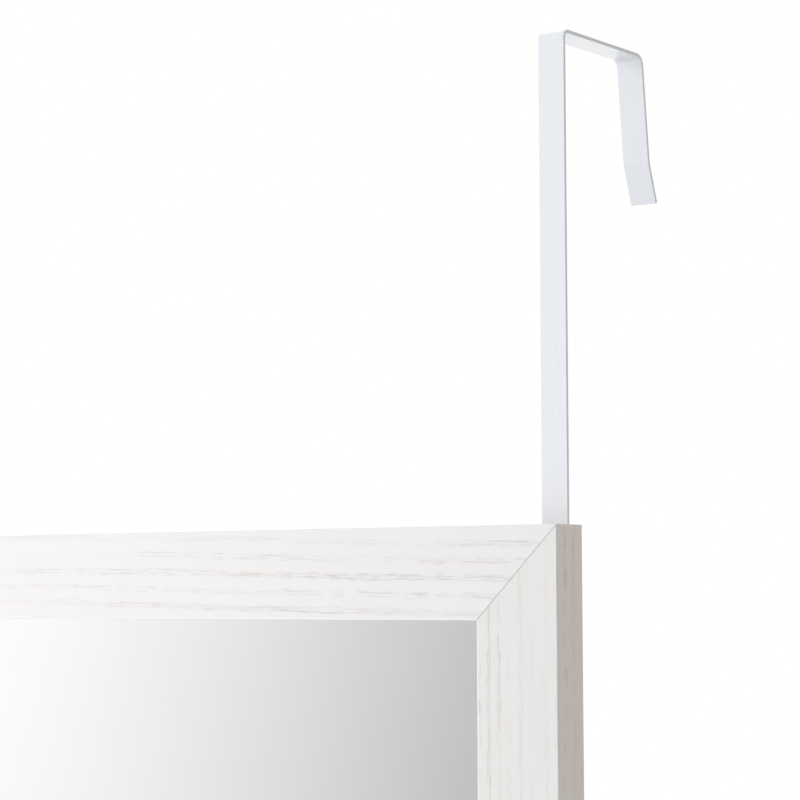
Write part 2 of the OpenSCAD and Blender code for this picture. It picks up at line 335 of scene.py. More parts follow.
print(f"a pore takes up {pore_share:.0%} of its cell and lies {row_off_ring:.0%} of a gap off its ring")

# %% [markdown]
# The group lays three sizes of pores over each other. Each is given as its length in millimetres, how wide its rows
# are, how many strays lie between them, and a seed. The rings bow slowly across the board before the pores are laid
# on them. Each bow is given as its length, its width and how far it reaches, in millimetres, and a seed. A bow is kept
# much wider than it reaches, because a steep one would stretch the dashes into smears. `Wander` scales all of them.

# %% Grain group
bows = ((36, 16, 1.6, 0.0), (240, 80, 18, 3.7), (600, 24, 6, 6.2))
pore_mm = 0.13
pore_sizes = ((18, 0.07, 0.0, 5.1), (9, 0.08, 0.0, 8.4), (4, 0.18, 0.02, 2.6))


def make_grain():
    """Build the grain group: masks of the pores and the soft rings, a cloud and a height."""
    numbers = {"Drift": 0.024, "Shift": 0.0, "Ring Gap": 0.006, "Wander": 1.0}
    tree, given, result = new_group("open_pore_grain", numbers, ("Pores", "Rings", "Cloud", "Height"))
    along, straight, _ = add_node(tree, "ShaderNodeSeparateXYZ", {0: given["Vector"]}).outputs
    across = calc(tree, "SUBTRACT", straight, calc(tree, "MULTIPLY", along, given["Drift"]))
    across = calc(tree, "SUBTRACT", across, given["Shift"])
    for along_mm, across_mm, reach_mm, seed in bows:
        bow = calc(tree, "SUBTRACT", stretched_noise(tree, along, straight, along_mm, across_mm, seed=seed), 0.5)
        across = calc(tree, "MULTIPLY_ADD", bow, calc(tree, "MULTIPLY", given["Wander"], reach_mm * MM), across)
    crowd = fade(tree, stretched_noise(tree, along, across, 80, 9, seed=1.3), 0.38, 0.6, low=0.3)
    gap = given["Ring Gap"]
    pores = 0.0
    for length_mm, row_width, strays, seed in pore_sizes:
        layer = dashes(tree, along, across, gap, length_mm, pore_mm, row_width, strays, seed)
        pores = calc(tree, "MAXIMUM", pores, layer)
    pores = calc(tree, "MULTIPLY", pores, crowd)
    off_ring, strength = growth_ring(tree, across, gap)
    feed(tree, result["Pores"], pores)
    streaks = fade(tree, stretched_noise(tree, along, across, 22, 0.9, detail=1.0, seed=4.4), 0.45, 0.7)
    rings = calc(tree, "MULTIPLY", fade(tree, off_ring, 0.3, 0.0), strength)
    feed(tree, result["Rings"], calc(tree, "MULTIPLY", rings, streaks))
    feed(tree, result["Cloud"], stretched_noise(tree, along, straight, 60, 9, detail=2.0, seed=7.7))
    fibre = stretched_noise(tree, along, straight, 6, 0.3, detail=1.0, seed=2.2)
    feed(tree, result["Height"], calc(tree, "SUBTRACT", calc(tree, "MULTIPLY", fibre, 0.15), pores))
    return tree


grain_group = make_grain()
print("group", grain_group.name, "with", len(grain_group.nodes), "nodes")

# %% [markdown]
# ## Pressed fibre
#
# The raw back of the moulding and the hardboard share the mottled look of pressed wood fibre. Noise alone gives round
# blotches, so its coordinates are squashed along Z, the way the fibres mostly lie, and distorted until flecks hook
# into each other. A second, much larger noise gives the slow mottle.

# %% Pressed fibre group
def make_speckle():
    """Build the fibre group: flecks, a slow mottle and a height, on Object coordinates."""
    tree, given, result = new_group("pressed_fibre", {"Fleck Scale": 700.0}, ("Flecks", "Mottle", "Height"))
    scale = given["Fleck Scale"]
    squash = add_node(tree, "ShaderNodeVectorMath", {0: given["Vector"], 1: (1, 1, 0.45)}, operation="MULTIPLY")
    flecks = add_node(
        tree, "ShaderNodeTexNoise",
        {"Vector": squash.outputs[0], "Scale": scale, "Detail": 3.0, "Roughness": 0.65, "Distortion": 1.2},
    ).outputs[0]
    mottle = add_node(
        tree, "ShaderNodeTexNoise", {"Vector": given["Vector"], "Scale": calc(tree, "MULTIPLY", scale, 0.03)}
    ).outputs[0]
    feed(tree, result["Flecks"], fade(tree, flecks, 0.3, 0.7))
    feed(tree, result["Mottle"], mottle)
    feed(tree, result["Height"], flecks)
    return tree


speckle_group = make_speckle()
print("group", speckle_group.name, "with", len(speckle_group.nodes), "nodes")

# %% [markdown]
# ## Handling marks
#
# Nothing coated or plated is quite even once it has been handled. Faint smudges change how such a surface shines, and
# a fine ripple, as in sprayed paint, breaks up its reflections. Both are far too small to model, so they are a group
# that each smooth finish uses with its own ripple.

# %% Handling marks group
def make_marks():
    """Build the marks group: smudges and a fine ripple, on Object coordinates."""
    tree, given, result = new_group("handling_marks", {"Ripple Scale": 900.0}, ("Smudges", "Ripple"))
    smudges = add_node(
        tree, "ShaderNodeTexNoise", {"Vector": given["Vector"], "Scale": 38.0, "Detail": 4.0, "Roughness": 0.6}
    ).outputs[0]
    ripple = add_node(
        tree, "ShaderNodeTexNoise", {"Vector": given["Vector"], "Scale": given["Ripple Scale"], "Detail": 1.0}
    ).outputs[0]
    feed(tree, result["Smudges"], fade(tree, smudges, 0.35, 0.75))
    feed(tree, result["Ripple"], ripple)
    return tree


marks_group = make_marks()
print("group", marks_group.name, "with", len(marks_group.nodes), "nodes")


# %% [markdown]
# ## Materials
#
# Every finish is a Principled shader whose colour, roughness and bump come from the groups. `new_finish` starts
# one, `use_group` places a group with its own values, and `emboss` turns a height into a bump of a real depth.

# %% Material helpers
def blend(tree, factor, first, second):
    """Mix two colours."""
    node = add_node(tree, "ShaderNodeMix", {0: factor}, data_type="RGBA")
    feed(tree, node.inputs[6], first)
    feed(tree, node.inputs[7], second)
    return node.outputs[2]


def new_finish(name, **constants):
    """Start a material and set what is the same all over its surface."""
    material = bpy.data.materials.new(name)
    material.use_nodes = True
    shader = material.node_tree.nodes["Principled BSDF"]
    for label, value in constants.items():
        shader.inputs[label.replace("_", " ")].default_value = value
    return material, material.node_tree, shader.inputs


def use_group(tree, group, vector, **values):
    """Place a node group on the given coordinates, and return its outputs."""
    node = add_node(tree, "ShaderNodeGroup", node_tree=group)
    feed(tree, node.inputs["Vector"], vector)
    for label, value in values.items():
        feed(tree, node.inputs[label.replace("_", " ")], value)
    return node.outputs


def emboss(tree, height, depth_mm):
    """Bump by a height from 0 to 1 that is depth_mm deep."""
    sockets = {"Height": height, "Distance": depth_mm * MM}
    return add_node(tree, "ShaderNodeBump", sockets).outputs[0]


def object_place(tree):
    """The point's place on the piece."""
    return add_node(tree, "ShaderNodeTexCoord").outputs["Object"]


# %% [markdown]
# ## The whitewashed foil
#
# On the real frame white is rubbed over a print of wood and stays out of the pores. Most of its look is therefore one
# colour with the grain laid over it: first the soft, warm rings, then the dark pores. The rails and the stiles come
# from different stretches of foil: the stiles' rings are closer and wander more. The stiles' white is also drawn a
# little greyer than the rails'. Down the outer sides the colour is warmer. This is partly the thinner white there and
# partly painted light, a warm tone that stands in for the light on the shaded sides. On the sight edge beside the
# mirror the colour is a paler white, a painted highlight along the rounded edge. The pores are darkest down the sides,
# and fainter on the outer strip of the stiles and at the top rail's left end.
#
# Each of these could be a material of its own, but then their borders would be hard lines. The unrolled UV map says
# where a point lies on the foil, so one material can ease from one into the next. The first five pairs of numbers
# below are the places, in metres along U or V, where such a change starts and has finished.

# %% Whitewashed foil
foil_join = (0.3, 0.5)
faint_stretch = (-3.37, -3.19)
calm_strip = (0.019, 0.023)
highlight_band = (rail_w - 0.0009, rail_w - 0.0003)
side_edge = (-0.0005, -0.0013)
rail_gap, stile_gap = 0.0058, 0.0045
rail_wander, stile_wander = 0.5, 0.9
ring_brown, pore_brown = (0.80, 0.74, 0.69, 1), (0.43, 0.39, 0.36, 1)
# The paler white of the painted highlight along the sight edge.
sight_edge_highlight = (0.92, 0.92, 0.92, 1)


def make_foil():
    """Limed, embossed foil. U below foil_join is the rails' stretch, and above it the stiles'."""
    material, tree, shader = new_finish("whitewashed_foil", IOR=1.47)
    unrolled = add_node(tree, "ShaderNodeUVMap", uv_map="unrolled").outputs[0]
    along, across, _ = add_node(tree, "ShaderNodeSeparateXYZ", {0: unrolled}).outputs
    from_stile, down_side = fade(tree, along, *foil_join), fade(tree, across, *side_edge)
    wander, gap = mix(tree, from_stile, rail_wander, stile_wander), mix(tree, from_stile, rail_gap, stile_gap)
    grain = use_group(tree, grain_group, unrolled, Drift=0.024, Shift=0.0029, Ring_Gap=gap, Wander=wander)
    cloud = fade(tree, grain["Cloud"], 0.3, 0.7)
    rail_white = blend(tree, cloud, (0.865, 0.848, 0.845, 1), (0.868, 0.864, 0.872, 1))
    stile_white = blend(tree, cloud, (0.83, 0.82, 0.805, 1), (0.835, 0.83, 0.83, 1))
    white = blend(tree, from_stile, rail_white, stile_white)
    ring_depth = calc(tree, "MULTIPLY", grain["Rings"], mix(tree, from_stile, 0.4, 0.6))
    toned = blend(tree, ring_depth, white, ring_brown)
    rail_depth = fade(tree, along, *faint_stretch, low=0.27, high=0.53)
    stile_depth = fade(tree, across, *calm_strip, low=0.38, high=0.62)
    depth = mix(tree, down_side, mix(tree, from_stile, rail_depth, stile_depth), 1.0)
    grained = blend(tree, calc(tree, "MULTIPLY", grain["Pores"], depth), toned, pore_brown)
    # A painted highlight: the sight edge turns a paler white along its rounded arris.
    front = blend(tree, fade(tree, across, *highlight_band), grained, sight_edge_highlight)
    wobbly = calc(tree, "MULTIPLY_ADD", grain["Cloud"], 0.007, across)
    # Down the outer sides the colour is multiplied by a warm tone. This is partly the thinner white and partly painted
    # warm light on the shaded sides.
    side_tone_and_bounce = blend(tree, fade(tree, wobbly, -0.004, -0.001), (1.09, 1.01, 0.925, 1), (1.07, 1.01, 0.95, 1))
    tinted = add_node(
        tree, "ShaderNodeMix", {0: 1.0, 6: front, 7: side_tone_and_bounce}, data_type="RGBA", blend_type="MULTIPLY"
    ).outputs[2]
    feed(tree, shader["Base Color"], blend(tree, down_side, front, tinted))
    feed(tree, shader["Roughness"], fade(tree, grain["Pores"], 0.0, 0.6, low=0.42, high=0.62))
    feed(tree, shader["Normal"], emboss(tree, grain["Height"], 0.022))
    return material


foil = make_foil()
print("material", foil.name)


# %% [markdown]
# ## Raw fibreboard and hardboard
#
# The moulding's core and the backing board are both pressed from wood fibre, one pale, the other dark and dense.
# Nothing on them is regular or follows the surface, so noise on Object coordinates is enough and no UV map is
# needed: fine flecks for the fibres over a slow mottle, with other colours and another scale for each board.

# %% Raw fibreboard and hardboard
def make_fibreboard():
    """The moulding's raw core: pale brown medium-density fibreboard."""
    material, tree, shader = new_finish("raw_fibreboard", Roughness=0.85)
    fibre = use_group(tree, speckle_group, object_place(tree), Fleck_Scale=900.0)
    base = blend(tree, fibre["Mottle"], (0.40, 0.29, 0.19, 1), (0.47, 0.35, 0.24, 1))
    colour = blend(tree, calc(tree, "MULTIPLY", fibre["Flecks"], 0.35), base, (0.27, 0.18, 0.11, 1))
    feed(tree, shader["Base Color"], colour)
    feed(tree, shader["Normal"], emboss(tree, fibre["Height"], 0.05))
    return material


def make_hardboard():
    """The backing board: dense brown hardboard with dark and pale fibres."""
    material, tree, shader = new_finish("brown_hardboard")
    fibre = use_group(tree, speckle_group, object_place(tree), Fleck_Scale=520.0)
    mottle = fade(tree, fibre["Mottle"], 0.3, 0.7)
    base = blend(tree, mottle, (0.128, 0.069, 0.038, 1), (0.172, 0.098, 0.054, 1))
    colour = blend(tree, calc(tree, "MULTIPLY", fibre["Flecks"], 0.45), base, (0.30, 0.19, 0.11, 1))
    feed(tree, shader["Base Color"], colour)
    feed(tree, shader["Roughness"], fade(tree, fibre["Flecks"], 0.0, 1.0, low=0.5, high=0.7))
    feed(tree, shader["Normal"], emboss(tree, fibre["Height"], 0.03))
    return material


fibreboard = make_fibreboard()
hardboard = make_hardboard()
print("materials", fibreboard.name, hardboard.name)


# %% [markdown]
# ## Glass, silver and its paint
#
# A mirror is a sheet of glass with silver on its back, and a grey paint that protects the silver. The silver is a
# metal with next to no roughness, so all that it shows is the room. Its colour is a little under white, because the
# glass takes some light. The ground edge is the only place that shows how green the glass is.

# %% Glass, silver and its paint
def make_silver():
    """Silvered float glass, seen from the front."""
    material, tree, shader = new_finish("silvered_glass", Metallic=1.0)
    marks = use_group(tree, marks_group, object_place(tree), Ripple_Scale=60.0)
    tint = blend(tree, marks["Smudges"], (0.957, 0.959, 0.958, 1), (0.949, 0.952, 0.951, 1))
    feed(tree, shader["Base Color"], tint)
    feed(tree, shader["Roughness"], fade(tree, marks["Smudges"], 0.5, 1.0, low=0.0, high=0.012))
    return material


def make_glass_edge():
    """The pane's ground edge, where thick glass looks green."""
    material, tree, shader = new_finish("ground_glass_edge", IOR=1.52)
    marks = use_group(tree, marks_group, object_place(tree), Ripple_Scale=2500.0)
    feed(tree, shader["Base Color"], blend(tree, marks["Ripple"], (0.20, 0.36, 0.31, 1), (0.42, 0.58, 0.52, 1)))
    feed(tree, shader["Roughness"], fade(tree, marks["Smudges"], 0.0, 1.0, low=0.3, high=0.5))
    feed(tree, shader["Normal"], emboss(tree, marks["Ripple"], 0.02))
    return material


def make_mirror_paint():
    """The grey paint that protects the silver, on the pane's back."""
    material, tree, shader = new_finish("mirror_back_paint")
    marks = use_group(tree, marks_group, object_place(tree), Ripple_Scale=700.0)
    feed(tree, shader["Base Color"], blend(tree, marks["Smudges"], (0.20, 0.22, 0.24, 1), (0.24, 0.26, 0.28, 1)))
    feed(tree, shader["Roughness"], fade(tree, marks["Smudges"], 0.0, 1.0, low=0.4, high=0.55))
    feed(tree, shader["Normal"], emboss(tree, marks["Ripple"], 0.01))
    return material


silver, glass_edge, mirror_paint = make_silver(), make_glass_edge(), make_mirror_paint()
print("materials", silver.name, glass_edge.name, mirror_paint.name)


# %% [markdown]
# ## Powder coat, zinc and rubber
#
# The hooks are powder-coated: a white paint that is baked until its skin is glossy, which is what the shader's own
# coat is for. The strap's sheared sides get a second, greyer copy of that coat, which is painted shade that darkens
# the narrow sides. The small fixings are steel with bright zinc plate, dulled in patches. The bumpers are milky
# rubber. Light sinks into it a little, so it has some subsurface scattering.

# %% Powder coat, zinc and rubber
def make_powder_coat(name, clean, smudged):
    """Glossy powder coat with a trace of orange peel."""
    material, tree, shader = new_finish(name, IOR=1.5, Coat_Weight=1.0, Coat_Roughness=0.12, Coat_IOR=1.5)
    marks = use_group(tree, marks_group, object_place(tree), Ripple_Scale=520.0)
    feed(tree, shader["Base Color"], blend(tree, marks["Smudges"], clean, smudged))
    feed(tree, shader["Roughness"], fade(tree, marks["Smudges"], 0.0, 1.0, low=0.27, high=0.28))
    feed(tree, shader["Normal"], emboss(tree, marks["Ripple"], 0.0004))
    return material


def make_zinc():
    """Bright zinc plate, dulled in patches."""
    material, tree, shader = new_finish("zinc_plate", Metallic=1.0)
    marks = use_group(tree, marks_group, object_place(tree), Ripple_Scale=1600.0)
    feed(tree, shader["Base Color"], blend(tree, marks["Smudges"], (0.72, 0.74, 0.77, 1), (0.62, 0.63, 0.63, 1)))
    feed(tree, shader["Roughness"], fade(tree, marks["Smudges"], 0.0, 1.0, low=0.24, high=0.42))
    feed(tree, shader["Normal"], emboss(tree, marks["Ripple"], 0.008))
    return material


def make_rubber():
    """Soft, milky rubber that has picked up a little dust."""
    material, tree, shader = new_finish("milky_rubber", Subsurface_Weight=0.25, Subsurface_Scale=0.002)
    marks = use_group(tree, marks_group, object_place(tree), Ripple_Scale=1200.0)
    feed(tree, shader["Base Color"], blend(tree, marks["Smudges"], (0.58, 0.60, 0.60, 1), (0.50, 0.51, 0.50, 1)))
    feed(tree, shader["Roughness"], fade(tree, marks["Smudges"], 0.0, 1.0, low=0.38, high=0.6))
    feed(tree, shader["Normal"], emboss(tree, marks["Ripple"], 0.01))
    return material


powder_coat = make_powder_coat("white_powder_coat", (0.854, 0.878, 0.923, 1), (0.852, 0.876, 0.921, 1))
# A greyer copy of the coat for the strap's narrow sides: painted shade.
shaded_side_coat = make_powder_coat("shaded_side_powder_coat", (0.76, 0.775, 0.80, 1), (0.74, 0.755, 0.78, 1))
zinc, rubber = make_zinc(), make_rubber()
print("materials", powder_coat.name, shaded_side_coat.name, zinc.name, rubber.name)

# %% [markdown]
# ## Helpers for modelling
#
# Each piece starts as a primitive at its size and place and is then shaped in edit mode. An edit-mode operator acts
# on whatever is selected, so `pick` selects by a test on each face or edge, which is what a click does by hand.

# %% Modelling helpers
TINY = 1e-5


def start(add_primitive, name, **place):
    """Add a primitive with nothing else selected, keep its place in its mesh, and open it in edit mode."""
    bpy.ops.object.select_all(action="DESELECT")
    add_primitive(**place)
    piece = bpy.context.object
    piece.name = piece.data.name = name
    bpy.ops.object.transform_apply(location=True, rotation=True, scale=True)
    bpy.ops.object.mode_set(mode="EDIT")
    return piece


def pick(kind, test):
    """Select only the faces, edges or vertices of the open mesh that pass a test."""
    bpy.ops.mesh.select_mode(type=kind)
    bpy.ops.mesh.select_all(action="DESELECT")
    mesh = bmesh.from_edit_mesh(bpy.context.object.data)
    chosen = [part for part in {"EDGE": mesh.edges, "FACE": mesh.faces, "VERT": mesh.verts}[kind] if test(part)]
    for part in chosen:
        part.select_set(True)
    mesh.select_flush_mode()
    bmesh.update_edit_mesh(bpy.context.object.data)
    return len(chosen)


def close(piece):
    """Turn every face outwards and leave edit mode."""
    bpy.ops.mesh.select_all(action="SELECT")
    bpy.ops.mesh.normals_make_consistent(inside=False)
    bpy.ops.object.mode_set(mode="OBJECT")
    return piece


# %% [markdown]
# ## The moulding
#
# A frame like this is sawn from long lengths of fibreboard that a machine has wrapped in foil: the foil covers the
# face, both edges and the first few millimetres of the back, and the rest of the back and the rabbet stay raw. The
# section could be drawn and swept round the frame in one go, but then the grain would run round the corners. Here
# each length is its own piece, as on the bench: a bar, its lip pulled out in front of the rabbet, its edges
# rounded, and both ends sawn at 45 degrees.

# %% Sizes of the moulding
lip_back = pane_low.y
nail_low, nail_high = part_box("corner_nails_top_right")
nail_step = frame_right - nail_high.x
nail_leg = nail_high.x - nail_low.x - nail_step
nail_top = nail_high.y
solid_w = nail_leg + 3 * nail_step
lip_w = rail_w - solid_w
mitre_gap = sqrt(2) * (frame_w - (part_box("top_rail")[1].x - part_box("top_rail")[0].x)) / 2
edge_r = 0.4 * MM
back_r = 0.5 * MM
foil_wrap = 5 * MM
joint_line = 0.1 * MM
saw_chip = 0.05 * MM
nail_slot = 0.8 * MM
nail_hole = 1.0 * MM
nail_play = 0.1 * MM
print(f"lip {lip_w / MM:.1f} mm wide, joint {mitre_gap / MM:.2f} mm, nails every {nail_step / MM:.1f} mm")


# %% [markdown]
# The moulding lies along X while it is shaped, with its outer edge at Z = 0 and the rest below it.

# %% Shape a length of moulding
def extrude(*move):
    """Pull what is selected out by a distance along X, Y and Z."""
    bpy.ops.mesh.extrude_region_move(TRANSFORM_OT_translate={"value": move})


def runs_along(edge, y, z):
    """Whether an edge runs the length of the moulding at this depth and height."""
    ends = [vertex.co for vertex in edge.verts]
    return abs(ends[0].x - ends[1].x) > rail_w and all(
        abs(end.y - y) < TINY and abs(end.z - z) < TINY for end in ends
    )


def on_mitre(face, side):
    """Whether a face is the sawn end on this side."""
    return face.normal.dot(Vector((side, 0, -1)).normalized()) > 0.999


def shape_moulding(name, length):
    """Bar, lip, rounded edges and mitred ends."""
    piece = start(
        bpy.ops.mesh.primitive_cube_add, name, size=1,
        location=(0, (front_y + back_y) / 2, -solid_w / 2), scale=(length, rail_d, solid_w),
    )
    bpy.ops.mesh.bisect(plane_co=(0, lip_back, 0), plane_no=(0, 1, 0))
    pick("FACE", lambda face: face.normal.z < -0.9 and face.calc_center_median().y < lip_back)
    extrude(0, 0, -lip_w)
    roundings = ((front_y, 0, edge_r, 5), (front_y, -rail_w, edge_r, 5), (lip_back, -rail_w, back_r, 2),
                 (back_y, 0, back_r, 3))
    for y, z, radius, segments in roundings:
        pick("EDGE", lambda edge: runs_along(edge, y, z))
        bpy.ops.mesh.bevel(offset=radius, segments=segments, affect="EDGES")
    pick("FACE", lambda face: face.normal.y > 0.9 and face.calc_center_median().z > -solid_w)
    bpy.ops.mesh.bisect(plane_co=(0, 0, -foil_wrap), plane_no=(0, 0, 1))
    for side in (-1, 1):
        bpy.ops.mesh.select_all(action="SELECT")
        saw_line = (side * (length / 2 - joint_line / sqrt(2)), 0, 0)
        bpy.ops.mesh.bisect(plane_co=saw_line, plane_no=(side, 0, -1), use_fill=True, clear_outer=True)
    bpy.ops.mesh.select_all(action="SELECT")
    bpy.ops.mesh.normals_make_consistent(inside=False)
    for side in (-1, 1):
        pick("FACE", lambda face: on_mitre(face, side))
        bpy.ops.mesh.bevel(offset=saw_chip, segments=1, affect="EDGES")
    return close(piece)


# %% [markdown]
# Three steps come back on most pieces, so they are helpers. `modify` adds a modifier and applies it, and `cut` takes
# one shape out of another with an exact Boolean. `soften` rounds every edge that turns sharply, shades the curves
# smooth and weights the normals by area, so that a flat face still looks flat beside a small rounding.

# %% Modifiers, cuts and soft edges
sharp_turn, smooth_turn = radians(50), radians(40)


def modify(piece, kind, **settings):
    """Add a modifier and apply it."""
    bpy.context.view_layer.objects.active = piece
    modifier = piece.modifiers.new(kind.lower(), kind)
    for option, choice in settings.items():
        setattr(modifier, option, choice)
    bpy.ops.object.modifier_apply(modifier=modifier.name)


def cut(piece, cutter):
    """Take the cutter's shape out of a piece, and remove the cutter."""
    modify(piece, "BOOLEAN", object=cutter, operation="DIFFERENCE", solver="EXACT")
    bpy.data.objects.remove(cutter)


def soften(piece, width=0.0):
    """Round the sharp edges, then shade the curves smooth while the flat faces stay flat."""
    if width:
        modify(piece, "BEVEL", width=width, segments=2, limit_method="ANGLE", angle_limit=sharp_turn)
    bpy.ops.object.select_all(action="DESELECT")
    piece.select_set(True)
    bpy.context.view_layer.objects.active = piece
    bpy.ops.object.shade_smooth_by_angle(angle=smooth_turn)
    modify(piece, "WEIGHTED_NORMAL", keep_sharp=True)


# %% [markdown]
# The corner nails lie sunk in the back. Each mitred end gets two short slots for them, sawn out with bars.

# %% Saw the nail slots
def saw_nail_slots(piece, length):
    """Cut two slots into the back at each end."""
    for side in (-1, 1):
        for number in (1, 2):
            depth = back_y - nail_top + nail_hole
            middle = (
                side * (length / 2 - number * nail_step - nail_leg / 2),
                back_y - depth / 2 + TINY,
                -number * nail_step - nail_slot / 2 + nail_play,
            )
            cutter = close(start(
                bpy.ops.mesh.primitive_cube_add, "nail_slot", size=1,
                location=middle, scale=(nail_leg + 2 * mitre_gap, depth, nail_slot),
            ))
            cut(piece, cutter)
    soften(piece)


# %% [markdown]
# The foil is one sheet folded round the bar, so its UV map unrolls the bar: U runs along it, and V runs across the
# face from the outer edge, on round the inner edge one way and down the outer side and onto the back the other way.
# Both are in metres, so the grain keeps its real size.

# %% Unroll the foil
def unroll(piece, along):
    """Map the moulding's skin, starting at this place along the sheet of foil."""
    layer = piece.data.uv_layers.active or piece.data.uv_layers.new()
    layer.name = "unrolled"
    for face in piece.data.polygons:
        for corner_index in face.loop_indices:
            point = piece.data.vertices[piece.data.loops[corner_index].vertex_index].co
            in_from_edge, depth = -point.z, point.y - front_y
            if face.normal.y > 0.9:
                v = -(rail_d + in_from_edge)
            elif in_from_edge < rail_w / 2:
                v = in_from_edge - depth
            else:
                v = in_from_edge + depth
            layer.data[corner_index].uv = (point.x + along, v)


def is_raw(face):
    """Whether a face shows the core: the sawn ends, and what lies behind the foil's two edges."""
    sawn = on_mitre(face, -1) or on_mitre(face, 1)
    return sawn or (face.normal.y > -0.05 and -rail_w + back_r + TINY < face.center.z < -foil_wrap)


# %% [markdown]
# From here on every piece goes the same way. It gets its materials by face, each copy gets a mesh of its own, and the
# move to its place is kept in that mesh, because the part is exported with every object at the origin. Last it is
# handed over: it rides on a moving body and stands for its CAD node.

# %% Finish, copy and place a piece
def surface(piece, material, test=None):
    """Give a material to the faces that pass a test, or to all of them."""
    piece.data.materials.append(material)
    for face in piece.data.polygons:
        if test is None or test(face):
            face.material_index = len(piece.data.materials) - 1


def put(piece, place, turn=0.0):
    """Turn a piece about Y, move it to its place, and keep both in its mesh."""
    piece.location = place
    piece.rotation_euler.y = radians(turn)
    bpy.ops.object.select_all(action="DESELECT")
    piece.select_set(True)
    bpy.context.view_layer.objects.active = piece
    bpy.ops.object.transform_apply(location=True, rotation=True, scale=True)
    return piece


def duplicate(piece, name):
    """Copy a piece with a mesh of its own."""
    copy = piece.copy()
    copy.data = piece.data.copy()
    copy.name = copy.data.name = name
    bpy.context.collection.objects.link(copy)
    return copy


def hand_over(piece, body, slot, *nodes):
    """Let a finished piece ride on its body and stand for its CAD nodes."""
    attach(piece, body)
    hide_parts(*nodes)
    mesh = bmesh.new()
    mesh.from_mesh(piece.data)
    loose = sum(not edge.is_manifold for edge in mesh.edges)
    print(f"{piece.name}: {len(mesh.faces)} faces, {loose} open edges, volume {mesh.calc_volume() * 1e6:.2f} cm3")
    mesh.free()


# %% [markdown]
# The two rails are the same length, and so are the two stiles, so only two lengths are shaped. Each copy is cut from
# its own stretch of foil, so that no two have the same grain, and is then turned about Y to its side of the frame. It
# is listed with its length, its turn, its place and where along the foil it is cut.

# %% Make the four lengths
patterns = {}
for length in (frame_w, frame_h):
    patterns[length] = shape_moulding("moulding", length)
    saw_nail_slots(patterns[length], length)
    surface(patterns[length], foil)
    surface(patterns[length], fibreboard, is_raw)

lengths = {
    "top_rail": (frame_w, 0, (0, 0, frame_top), -3.3),
    "bottom_rail": (frame_w, 180, (0, 0, frame_bottom), -1.6),
    "right_stile": (frame_h, 90, (frame_right, 0, frame_mid), 4.0),
    "left_stile": (frame_h, -90, (-frame_right, 0, frame_mid), 1.3),
}
for node, (length, turn_y, place, along) in lengths.items():
    piece = duplicate(patterns[length], node + "_moulding")
    unroll(piece, along)
    hand_over(put(piece, place, turn_y), "frame", "whitewashed_wood", node)
for pattern in patterns.values():
    bpy.data.objects.remove(pattern)

# %% [markdown]
# ## The mirror pane
#
# The pane is 3 mm float glass, silvered and painted on its back, with a ground edge. Real glass in front of the
# silver would cost many light bounces and show next to nothing more, so the front face itself is the silver here. The
# edge keeps the green of thick glass and the back its grey paint. It stays flat-shaded, because a mirror shows every
# bend in its shading.

# %% Pane
pane_edge = 0.3 * MM


def shape_sheet(name, low, high, edge, segments):
    """A flat sheet that fills a box, with its edges eased."""
    piece = start(bpy.ops.mesh.primitive_cube_add, name, size=1, location=(low + high) / 2, scale=high - low)
    bpy.ops.mesh.select_all(action="SELECT")
    bpy.ops.mesh.bevel(offset=edge, segments=segments, affect="EDGES")
    return close(piece)


pane = shape_sheet("silvered_pane", pane_low, pane_high, pane_edge, 1)
surface(pane, glass_edge)
surface(pane, silver, lambda face: face.normal.y < -0.99)
surface(pane, mirror_paint, lambda face: face.normal.y > 0.99)
hand_over(pane, "frame", "mirror_silver", "mirror_pane")

# %% [markdown]
# ## The backing board
#
# Behind the pane lies a sheet of hardboard, pressed from wood fibre, smooth and dark brown. It is the largest
# surface of the back, so its mottle matters more than its shape.

# %% Backing board
board_edge = 0.4 * MM

board = shape_sheet("hardboard_back", board_low, board_high, board_edge, 2)
soften(board)
surface(board, hardboard)
hand_over(board, "frame", "hardboard", "backing_board")

# %% [markdown]
# ## The door hooks
#
# Each hook is a steel strap bent over the door: up behind the stile, over the top edge, down the back, and kicked
# out at its end so that it slides on easily. A curve with a flat profile could follow the same route, but a sheared
# strip is best made as it is bent: its end face is pulled straight for each flat and spun about the bend's axis for
# each bend. The flats then stay flat and the bends keep their true radius.

# %% Sizes of the hooks
strap_low, strap_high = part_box("hook_right")
strap_x = (strap_low.x + strap_high.x) / 2
strap_w = strap_high.x - strap_low.x
strap_t = strap_high.z
throat_back = 49 * MM
front_bend, rear_bend, kick_bend = 1.7 * MM, 3 * MM, 8 * MM
leg_len, leg_lean = 34 * MM, 6.5
kick_len, kick_lean = 14 * MM, 20
tail_r = 3 * MM
strap_edge = 0.15 * MM
print(f"strap {strap_w / MM:.1f} x {strap_t / MM:.1f} mm, its foot at {strap_low.z / MM:.1f} mm")


# %% [markdown]
# The strap starts as its own cross-section, a small flat face at its foot. `lead` pulls that face straight on and
# `bend` spins it round an axis that lies one radius to the side of the strap, so that each flat runs smoothly into
# the next bend.

# %% Bend a strap
def resize(x, y, z, centre=(0, 0, 0)):
    """Scale what is selected about a point."""
    bpy.ops.transform.resize(value=(x, y, z), center_override=centre)


def lead(degrees, length):
    """Pull the strap's end straight on, in the direction given from upright down towards the back."""
    extrude(0, length * sin(radians(degrees)), -length * cos(radians(degrees)))


def bend(y, z, degrees):
    """Carry the strap's end round the axis at this depth and height."""
    bpy.ops.mesh.spin(
        steps=max(4, round(abs(degrees) / 6)), angle=radians(degrees), center=(0, y, z), axis=(1, 0, 0),
        use_auto_merge=False,
    )


